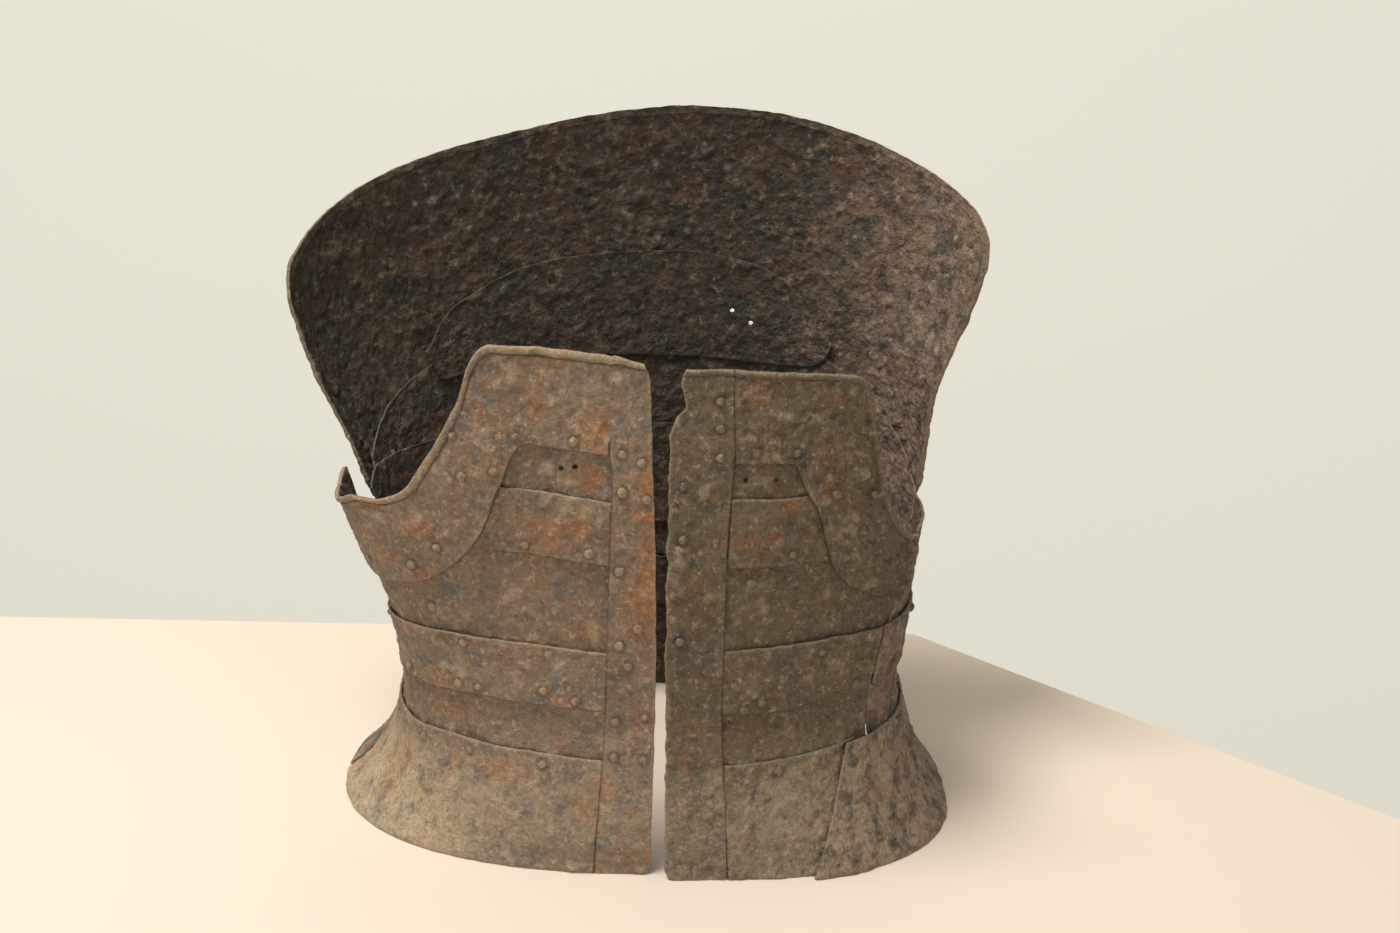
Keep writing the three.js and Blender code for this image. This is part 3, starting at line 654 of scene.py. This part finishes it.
def soil_and_shade_line(name, spec, distance, bead):
    """Soil and painted shadow along laps, joints and grooves, and the distance of the nearest edge that is
    bare.
    """
    line = np.maximum(np.clip(-bead, 0, 1), SHELTERED * (spec["layer"] == 0))
    bare = np.full(len(bead), float(FAR))
    for side, far in distance.items():
        near = 1 - smooth_step(far / SOIL_AND_SHADE_LINE["width"])
        if side == spec.get("meets"):
            line = np.maximum(line, SOIL_AND_SHADE_LINE["joint"] * near)
        elif side == "foot" and "foot_rim" not in spec and not name.endswith("strip"):
            line = np.maximum(line, SOIL_AND_SHADE_LINE["lap"] * near)
        else:
            bare = np.minimum(bare, far)
    return line, bare


def plate_mesh(name, spec, shift, move):
    """A plate with rust relief, rounded and eaten edges, folded rims and lacing holes."""
    sprung = spec["sprung"]
    phi, z, lift, distance = plate_grid(spec, shift)
    rows, cols = phi.shape
    phi, z = phi.ravel(), z.ravel()
    none = np.zeros(rows * cols)
    flat = skin(phi, z, 0, sprung)
    distance = {side: far.ravel() for side, far in distance.items()}
    if "healed" in spec:
        healed = smooth_step((z - spec["healed"]) / HEALED_FADE)
        distance[spec["meets"]] = distance[spec["meets"]] + FAR * healed

    # Heights of the two faces
    rust, crest = relief(flat, spec.get("rough", 1), shift)
    inside, inside_crest = relief(flat, 1, shift + INNER_SHIFT)
    nearest = np.minimum.reduce(list(distance.values()))
    calm = smooth_step(nearest / CALM["width"]) * (1 - CALM["least"]) + CALM["least"]
    bead, rings = none.copy(), none
    for side, far in distance.items():
        if side + "_rim" in spec:
            bead += folded(far, spec[side + "_rim"])
    for rivet in spec.get("rivets", []):
        away = np.linalg.norm(flat - skin(rivet[:1], rivet[1:2], 0, sprung), axis=1)
        rust += RIVET_SWELL["height"] * np.exp(-(away / RIVET_SWELL["reach"]) ** 2)
        rings = np.maximum(rings, np.exp(-((away - SOIL_AND_SHADE_RING["radius"]) / SOIL_AND_SHADE_RING["width"]) ** 2))
    base = LAYER * (spec["layer"] + lift.ravel())
    outer_height = base + THICK + bead + rust * calm - rounding(nearest, OUTER_ROUNDING)
    inner_height = base - INNER_SHARE * inside * calm + rounding(nearest, INNER_ROUNDING)
    inner_height = np.minimum(inner_height, outer_height - LEAST_WALL)
    outer = skin(phi, z, outer_height, sprung)
    inner = skin(phi, z, inner_height, sprung)

    # The closed shell
    plain = flat.reshape(rows, cols, 3)
    kept = pierce(spec, plain, (outer, inner))
    faces = shell_faces(kept, outer, inner)
    points = np.concatenate([outer, inner]) + move
    mesh = bpy.data.meshes.new(name)
    used = np.zeros(len(points), bool)
    used[faces.ravel()] = True
    number = np.cumsum(used) - 1
    mesh.from_pydata((points[used] * MM).tolist(), [], number[faces].tolist())
    mesh.shade_smooth()

    # What the finish reads at each point: the outer face's values, then the inner face's
    line, bare = soil_and_shade_line(name, spec, distance, bead)
    edge = 1 - smooth_step(bare / RUBBED_EDGE["width"])
    rim = RUBBED_RIM * np.clip(bead / RIM["rise"], 0, 1)
    wing_tone_and_painted_light, bloom = none, none
    # The back's left wing is paler, partly its own rust tone and partly painted light from the key
    if name.startswith("back"):
        wing_tone_and_painted_light = 1 - smooth_step((phi - WING_TONE_AND_PAINTED_LIGHT["full"]) / WING_TONE_AND_PAINTED_LIGHT["fade"])
    for bloom_phi, bloom_z, reach in spec.get("blooms", []):
        away = np.linalg.norm(flat - skin([bloom_phi], [bloom_z], 0, sprung), axis=1)
        bloom = np.maximum(bloom, np.exp(-(away / reach) ** 2))
    # Among these tones, the darkened inner face is painted shade, the back's paler left wing is partly
    # painted light, the paler upward-leaning outside is painted light, and the dark lines along laps and
    # grooves are partly painted shadow
    tones = {
        "inside": [none, 1 - wing_tone_and_painted_light], "wing_tone_and_painted_light": [wing_tone_and_painted_light, wing_tone_and_painted_light], "bloom": [bloom, none],
        "top_painted_light": [painted_top_light(phi, z, plain, sprung), none], "rubbed": [], "soil_and_shade": [],
    }
    for face, height, ring in (("outside", crest, rings), ("inside", inside_crest, none)):
        high = RUBBED_CREST["share"] * smooth_step((height - RUBBED_CREST["from"]) / RUBBED_CREST["slope"])
        low = SOILED_PIT["share"] * smooth_step((-height - SOILED_PIT["from"]) / SOILED_PIT["slope"])
        tones["rubbed"].append(np.maximum.reduce([high, RUBBED_EDGE[face] * edge, rim]) * (1 - line))
        tones["soil_and_shade"].append(np.maximum.reduce([low, line, SOIL_AND_SHADE_RING["share"] * ring]))
    for label, values in tones.items():
        values = np.concatenate(values)[used].astype(np.float32)
        mesh.attributes.new(label, "FLOAT", "POINT").data.foreach_set("value", values)
    return placed(name + "_rusted", mesh)


def frame_move():
    """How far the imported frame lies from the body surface's own axes, by the waist plate's outer corner."""
    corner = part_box("back_plate_6")[1]
    foot = HEM_TOP - TUCK
    side = skin([90], [foot], THICK)[0]
    rear = skin([180], [foot], THICK)[0]
    return np.array([corner.x / MM - side[0], corner.y / MM - rear[1], 0])


MOVE = frame_move()


# Materials
def linear(hex_colour):
    """sRGB hex to the linear colour that a shader works in."""
    parts = [int(hex_colour[i:i + 2], 16) / 255 for i in (1, 3, 5)]
    return [*(p / 12.92 if p <= 0.04045 else ((p + 0.055) / 1.055) ** 2.4 for p in parts), 1]


PAINTED_SHADE_BLACK = (0, 0, 0, 1)


def add(tree, kind, settings=None, **inputs):
    """A node with its settings; an input is a value, or the output that is linked to it."""
    made = tree.nodes.new(kind)
    for key, value in (settings or {}).items():
        setattr(made, key, value)
    for key, value in inputs.items():
        socket = made.inputs[int(key[1:])] if key[1:].isdigit() else made.inputs[key.replace("_", " ")]
        if isinstance(value, bpy.types.NodeSocket):
            tree.links.new(value, socket)
        else:
            socket.default_value = value
    return made


def grain(tree, size, detail=5.0, offset=0.0, roughness=0.6):
    """Noise on the object's own coordinates, with features of a size in millimetres."""
    place = add(tree, "ShaderNodeTexCoord").outputs["Object"]
    shift = (offset, offset * 0.7, -offset)
    moved = add(tree, "ShaderNodeMapping", Vector=place, Location=shift).outputs[0]
    return add(
        tree, "ShaderNodeTexNoise", Vector=moved, Scale=1 / (size * MM), Detail=detail, Roughness=roughness
    ).outputs["Fac"]


def patches(tree, size, low, high, **kind):
    """Soft-edged patches: none where the grain is below low, full where it is above high."""
    settings = {"interpolation_type": "SMOOTHSTEP"}
    there = grain(tree, size, **kind)
    return add(tree, "ShaderNodeMapRange", settings, Value=there, From_Min=low, From_Max=high).outputs[0]


def uneven(tree, size, low, high, **kind):
    """A value that wanders between two levels with the grain."""
    there = grain(tree, size, **kind)
    return add(
        tree, "ShaderNodeMapRange", Value=there, From_Min=0.3, From_Max=0.7, To_Min=low, To_Max=high
    ).outputs[0]


def coat(tree, under, over, where, strength, broken_by=1.0):
    """A colour laid over another where a pattern, or one of the plate's own point attributes, has it."""
    if isinstance(where, str):
        where = add(tree, "ShaderNodeAttribute", {"attribute_name": where}).outputs["Fac"]
    there = add(tree, "ShaderNodeMath", {"operation": "MULTIPLY"}, _0=where, _1=broken_by).outputs[0]
    share = add(tree, "ShaderNodeMath", {"operation": "MULTIPLY"}, _0=there, _1=strength).outputs[0]
    return add(tree, "ShaderNodeMix", {"data_type": "RGBA"}, _0=share, _6=under, _7=over).outputs[2]


# Iron that has rusted through: no bare metal is left, so it scatters light like earth, dull and warm.
# Thick scale gives the slate grey, fresh rust the orange, and rubbed crests and edges the pale tan, which is
# also painted on as light where a surface leans back.
# Real rust is finer than the flecks of 2 to 6 mm drawn here, which are as small as a render shows.
def rusted_iron(name, colours, slate_share, orange_share, mottle, inner_painted_shade, lumps, flecks, pale_share):
    """A finish of rusted iron, with painted light and shade read from the plate's attributes; sizes are in
    millimetres, shares and strengths from 0 to 1.
    """
    material = bpy.data.materials.new(name)
    material.use_nodes = True
    tree = material.node_tree
    shader = tree.nodes["Principled BSDF"]
    base, deep, slate, orange, pale, wing_tone_and_painted_light = (linear(c) for c in colours)

    # Broad clouds of scale, the paler wearer's left side (partly painted light), and painted light where a
    # surface leans back, then soft slate spots
    clouds = patches(tree, size=38, low=0.36, high=0.66, offset=9.2)
    scale = patches(
        tree, size=15, low=0.6 - slate_share, high=0.74 - slate_share, offset=3.1, roughness=0.65
    )
    colour = coat(tree, base, deep, clouds, strength=0.35)
    # Paler tone of the back's left wing, partly painted light
    colour = coat(tree, colour, wing_tone_and_painted_light, "wing_tone_and_painted_light", strength=0.85)
    # Painted light: paler where the outside leans back towards the light above
    colour = coat(tree, colour, pale, "top_painted_light", strength=0.7)
    colour = coat(tree, colour, slate, scale, strength=0.75)

    # Orange bloom, anywhere and where a plate says so, broken up into flecks
    fleck = patches(tree, size=4.5, low=0.36, high=0.6, offset=6.1)
    bloom = patches(
        tree, size=30, low=0.56 - orange_share, high=0.72 - orange_share, detail=3.0, offset=7.7
    )
    spot = patches(tree, size=8, low=0.7 - orange_share, high=0.8 - orange_share, offset=8.8, roughness=0.7)
    colour = coat(tree, colour, orange, bloom, strength=0.45, broken_by=fleck)
    colour = coat(tree, colour, orange, "bloom", strength=0.95, broken_by=fleck)
    colour = coat(tree, colour, orange, spot, strength=0.45)

    # Dark and pale flecks, rubbed crests and edges, and the finest specks
    dark_fleck = patches(tree, size=1.5 * flecks, low=0.5, high=0.66, offset=0.4, roughness=0.7)
    pale_fleck = patches(tree, size=flecks, low=0.53, high=0.68, offset=2.9, roughness=0.7)
    speck = uneven(tree, size=2.6, low=0.72, high=1.28, offset=1.3, roughness=0.7)
    colour = coat(tree, colour, deep, dark_fleck, strength=mottle)
    colour = coat(tree, colour, pale, pale_fleck, strength=pale_share)
    colour = coat(tree, colour, pale, "rubbed", strength=0.8)
    colour = add(
        tree, "ShaderNodeMix", {"data_type": "RGBA", "blend_type": "MULTIPLY"}, _0=1.0, _6=colour, _7=speck
    ).outputs[2]

    # Soil in pits, soil with painted shadow along laps, joints and grooves, and painted shade that darkens
    # the inside face
    colour = coat(tree, colour, linear(SOIL_AND_SHADE), "soil_and_shade", strength=0.7)
    # Painted shade: the inside face is darkened towards black, except on the back's left wing
    colour = coat(tree, colour, PAINTED_SHADE_BLACK, "inside", strength=1 - inner_painted_shade)
    tree.links.new(colour, shader.inputs["Base Color"])

    dullness = uneven(tree, size=6, low=0.66, high=0.92, detail=3.0, offset=5.5)
    tree.links.new(dullness, shader.inputs["Roughness"])
    shader.inputs["Metallic"].default_value = 0.0
    shader.inputs["Specular IOR Level"].default_value = 0.4
    coarse = add(
        tree, "ShaderNodeBump", Height=grain(tree, size=5.5, detail=5, offset=2.2, roughness=0.62),
        Distance=lumps * MM, Strength=1.0,
    ).outputs[0]
    fine = add(
        tree, "ShaderNodeBump", Height=grain(tree, size=2.2, detail=3, offset=4.4, roughness=0.6),
        Distance=0.9 * MM, Strength=1.0, Normal=coarse,
    ).outputs[0]
    tree.links.new(fine, shader.inputs["Normal"])
    return material


# Colours: base, deep, slate, orange, pale, and the tone of the wearer's left side, which is partly painted
# light
# Near-black of soil and painted shadow in laps, grooves and round rivets
SOIL_AND_SHADE = "#2a221b"
FINISHES = {
    "rust_brown": rusted_iron(
        "rusted iron, warm brown", ("#8d7a66", "#655647", "#6a6966", "#ae7040", "#c9b596", "#8d7a66"),
        slate_share=0.09, orange_share=0.07, mottle=0.3, inner_painted_shade=0.35,
        lumps=3.6, flecks=4.2, pale_share=0.5,
    ),
    "rust_olive": rusted_iron(
        "rusted iron, grey brown", ("#756852", "#50463a", "#5b5a55", "#97623b", "#b5a68a", "#756852"),
        slate_share=0.07, orange_share=0.03, mottle=0.35, inner_painted_shade=0.45,
        lumps=5.5, flecks=4.8, pale_share=0.6,
    ),
    "rust_umber": rusted_iron(
        "rusted iron, dark umber", ("#695f50", "#413a31", "#454a47", "#946a4e", "#b3a086", "#907d6b"),
        slate_share=0.13, orange_share=0.13, mottle=0.7, inner_painted_shade=0.56,
        lumps=6.0, flecks=6.5, pale_share=0.8,
    ),
}


# Rivet heads
def rivet_tree(material):
    """Low domes on the points of a mesh, each turned to its own facing, with a corroded outline."""
    tree = bpy.data.node_groups.new("rivet heads", "GeometryNodeTree")
    face = tree.interface
    face.new_socket("Geometry", in_out="INPUT", socket_type="NodeSocketGeometry")
    face.new_socket("Geometry", in_out="OUTPUT", socket_type="NodeSocketGeometry")
    for label, kind in (
        ("Head radius", "NodeSocketFloat"), ("Head rise", "NodeSocketFloat"),
        ("Size spread", "NodeSocketFloat"), ("Corrosion", "NodeSocketFloat"), ("Seed", "NodeSocketInt"),
    ):
        face.new_socket(label, in_out="INPUT", socket_type=kind)
    given = tree.nodes.new("NodeGroupInput").outputs
    facing = add(tree, "GeometryNodeInputNamedAttribute", {"data_type": "FLOAT_VECTOR"}, Name="facing")
    turned = add(
        tree, "FunctionNodeAlignRotationToVector", {"axis": "Z"}, Vector=facing.outputs["Attribute"]
    ).outputs[0]
    ball = add(tree, "GeometryNodeMeshUVSphere", Segments=14, Rings=8, Radius=1.0).outputs["Mesh"]
    shape = add(
        tree, "ShaderNodeCombineXYZ", X=given["Head radius"], Y=given["Head radius"], Z=given["Head rise"]
    ).outputs[0]
    dome = add(tree, "GeometryNodeTransform", Geometry=ball, Scale=shape).outputs[0]
    least, most = (
        add(tree, "ShaderNodeMath", {"operation": way}, _0=1.0, _1=given["Size spread"]).outputs[0]
        for way in ("SUBTRACT", "ADD")
    )
    size = add(
        tree, "FunctionNodeRandomValue", {"data_type": "FLOAT"}, _2=least, _3=most, Seed=given["Seed"]
    ).outputs[1]
    heads = add(
        tree, "GeometryNodeInstanceOnPoints", Points=given["Geometry"], Instance=dome, Rotation=turned,
        Scale=size,
    ).outputs[0]
    solid = add(tree, "GeometryNodeRealizeInstances", Geometry=heads).outputs[0]
    pitted = add(
        tree, "ShaderNodeTexNoise", {"noise_dimensions": "4D"},
        W=given["Seed"], Scale=1 / (RIVET_CORROSION["size"] * MM), Detail=2.0,
    ).outputs["Color"]
    centred = add(
        tree, "ShaderNodeVectorMath", {"operation": "SUBTRACT"}, _0=pitted, _1=(0.5, 0.5, 0.5)
    ).outputs[0]
    shove = add(
        tree, "ShaderNodeVectorMath", {"operation": "SCALE"}, _0=centred, Scale=given["Corrosion"]
    ).outputs[0]
    eaten = add(tree, "GeometryNodeSetPosition", Geometry=solid, Offset=shove).outputs[0]
    toned = add(
        tree, "GeometryNodeStoreNamedAttribute", {"data_type": "FLOAT", "domain": "POINT"},
        Geometry=eaten, Name="rubbed", Value=RIVET_RUBBED,
    ).outputs[0]
    smooth = add(tree, "GeometryNodeSetShadeSmooth", Geometry=toned).outputs[0]
    finished = add(tree, "GeometryNodeSetMaterial", Geometry=smooth, Material=material).outputs[0]
    out = tree.nodes.new("NodeGroupOutput")
    tree.links.new(finished, out.inputs["Geometry"])
    return tree


def rivet_heads(name, centres, facings, material, seed):
    """The rivet heads of a group of plates, as one plain mesh."""
    mesh = bpy.data.meshes.new(name + "_points")
    mesh.from_pydata([list(p) for p in centres], [], [])
    mesh.attributes.new("facing", "FLOAT_VECTOR", "POINT").data.foreach_set(
        "vector", np.array(facings, np.float32).ravel()
    )
    seeds = placed(name + "_points", mesh)
    modifier = seeds.modifiers.new("heads", "NODES")
    modifier.node_group = rivet_tree(material)
    inputs = modifier.node_group.interface.items_tree
    sockets = {s.name: s.identifier for s in inputs if s.in_out == "INPUT"}
    for label, value in (
        ("Head radius", RIVET_RADIUS * MM), ("Head rise", RIVET_RISE * MM), ("Size spread", RIVET_SPREAD),
        ("Corrosion", RIVET_CORROSION["depth"] * MM), ("Seed", seed),
    ):
        modifier[sockets[label]] = value
    bpy.context.view_layer.update()
    ready = seeds.evaluated_get(bpy.context.evaluated_depsgraph_get())
    piece = placed(name, bpy.data.meshes.new_from_object(ready))
    bpy.data.objects.remove(seeds)
    bpy.data.meshes.remove(mesh)
    return piece


def on_plate(spec, phi, z, lift=0):
    """Place and facing of a rivet on a plate's outer face, in metres."""
    height = LAYER * (spec["layer"] + lift) + THICK
    step = 0.5
    sprung = spec["sprung"]
    here = skin([phi], [z], height, sprung)[0]
    round_way = skin([phi + step], [z], height, sprung)[0] - skin([phi - step], [z], height, sprung)[0]
    up = skin([phi], [z + step], height, sprung)[0] - skin([phi], [z - step], height, sprung)[0]
    facing = np.cross(round_way, up)
    return (here + MOVE) * MM, facing / np.linalg.norm(facing)


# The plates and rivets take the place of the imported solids
for index, (group, slot) in enumerate(GROUPS.items()):
    places = []
    for number, (name, spec) in enumerate(PLATES.items()):
        if not name.startswith(group):
            continue
        spec["sprung"] = group == "right_front"
        piece = plate_mesh(name, spec, PLATE_SHIFT * number, MOVE)
        piece.data.materials.append(FINISHES[slot])
        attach(piece, "root")
        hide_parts(name)
        places += [on_plate(spec, *row) for row in spec.get("rivets", [])]
    rivets = rivet_heads(group + "_rivets", *zip(*places), FINISHES[slot], index + 1)
    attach(rivets, "root")


# Camera: at the photograph's angle, 21 degrees down and rolled by 2 degrees
PHOTO_WIDTH = 1400
FOCAL_PIXELS = 1870.6
SENSOR = 36
CAMERA_PLACE = (-18.9, -1163.7, 680)
CAMERA_TURN = 3.0
CAMERA_PITCH = 21.07
CAMERA_ROLL = 2.043
CAMERA_REACH = 50

camera_data = bpy.data.cameras.new("camera")
camera_data.sensor_width = SENSOR
camera_data.lens = SENSOR * FOCAL_PIXELS / PHOTO_WIDTH
camera_data.clip_end = CAMERA_REACH
camera = placed("camera", camera_data)
turn, pitch, roll = (math.radians(v) for v in (CAMERA_TURN, CAMERA_PITCH, CAMERA_ROLL))
ahead = Vector((math.sin(turn) * math.cos(pitch), math.cos(turn) * math.cos(pitch), -math.sin(pitch)))
level = Vector((math.cos(turn), -math.sin(turn), 0))
over = level.cross(ahead)
right = level * math.cos(roll) + over * math.sin(roll)
upward = over * math.cos(roll) - level * math.sin(roll)
facing = Matrix((right, upward, -ahead)).transposed().to_4x4()
camera.matrix_world = Matrix.Translation(Vector(CAMERA_PLACE) * MM) @ facing
SCENE.camera = camera


# Stage, in metres: a plain cream table top and a plain pale wall behind it
STAGE_ROUGHNESS = 0.9


def plain(name, colour, corners, glow=0.0):
    """A flat plain surface of the stage."""
    material = bpy.data.materials.new(name)
    material.use_nodes = True
    shader = material.node_tree.nodes["Principled BSDF"]
    shader.inputs["Base Color"].default_value = linear(colour)
    shader.inputs["Roughness"].default_value = STAGE_ROUGHNESS
    shader.inputs["Emission Color"].default_value = linear(colour)
    shader.inputs["Emission Strength"].default_value = glow
    mesh = bpy.data.meshes.new(name)
    mesh.from_pydata(corners, [], [tuple(range(len(corners)))])
    mesh.materials.append(material)
    placed(name, mesh)


TABLE = [(-3, -3), (3, -3), (1.0, -0.5), (0.235, 0.222), (-3, 0.27)]
WALL_BACK = 3.2
WALL = [(-6, WALL_BACK, -4), (6, WALL_BACK, -4), (6, WALL_BACK, 5), (-6, WALL_BACK, 5)]
plain("table_top", "#f2e4d2", [(x, y, 0) for x, y in TABLE])
plain("wall", "#dfddd0", WALL, glow=0.63)


# Light, in metres and watts: a high key from the left, a broad weak fill in front and a pale surround
AIM = (0, 0, 0.2)
SURROUND = {"colour": "#f4f1ec", "strength": 0.32}


def panel(name, place, size, power, colour):
    """A soft rectangular light, aimed at the middle of the cuirass."""
    data = bpy.data.lights.new(name, "AREA")
    data.shape = "RECTANGLE"
    data.size, data.size_y = size
    data.energy = power
    data.color = linear(colour)[:3]
    lamp = placed(name, data)
    lamp.location = place
    lamp.rotation_euler = (Vector(AIM) - Vector(place)).to_track_quat("-Z", "Y").to_euler()


panel("key", place=(-0.75, -0.3, 2.4), size=(0.9, 0.9), power=50, colour="#fff9f2")
panel("fill", place=(-0.3, -2.6, 1.1), size=(1.8, 1.4), power=13, colour="#fbf8f4")
world = bpy.data.worlds.new("surround")
world.use_nodes = True
background = world.node_tree.nodes["Background"]
background.inputs["Color"].default_value = linear(SURROUND["colour"])
background.inputs["Strength"].default_value = SURROUND["strength"]
SCENE.world = world
SCENE.view_settings.view_transform = "Standard"
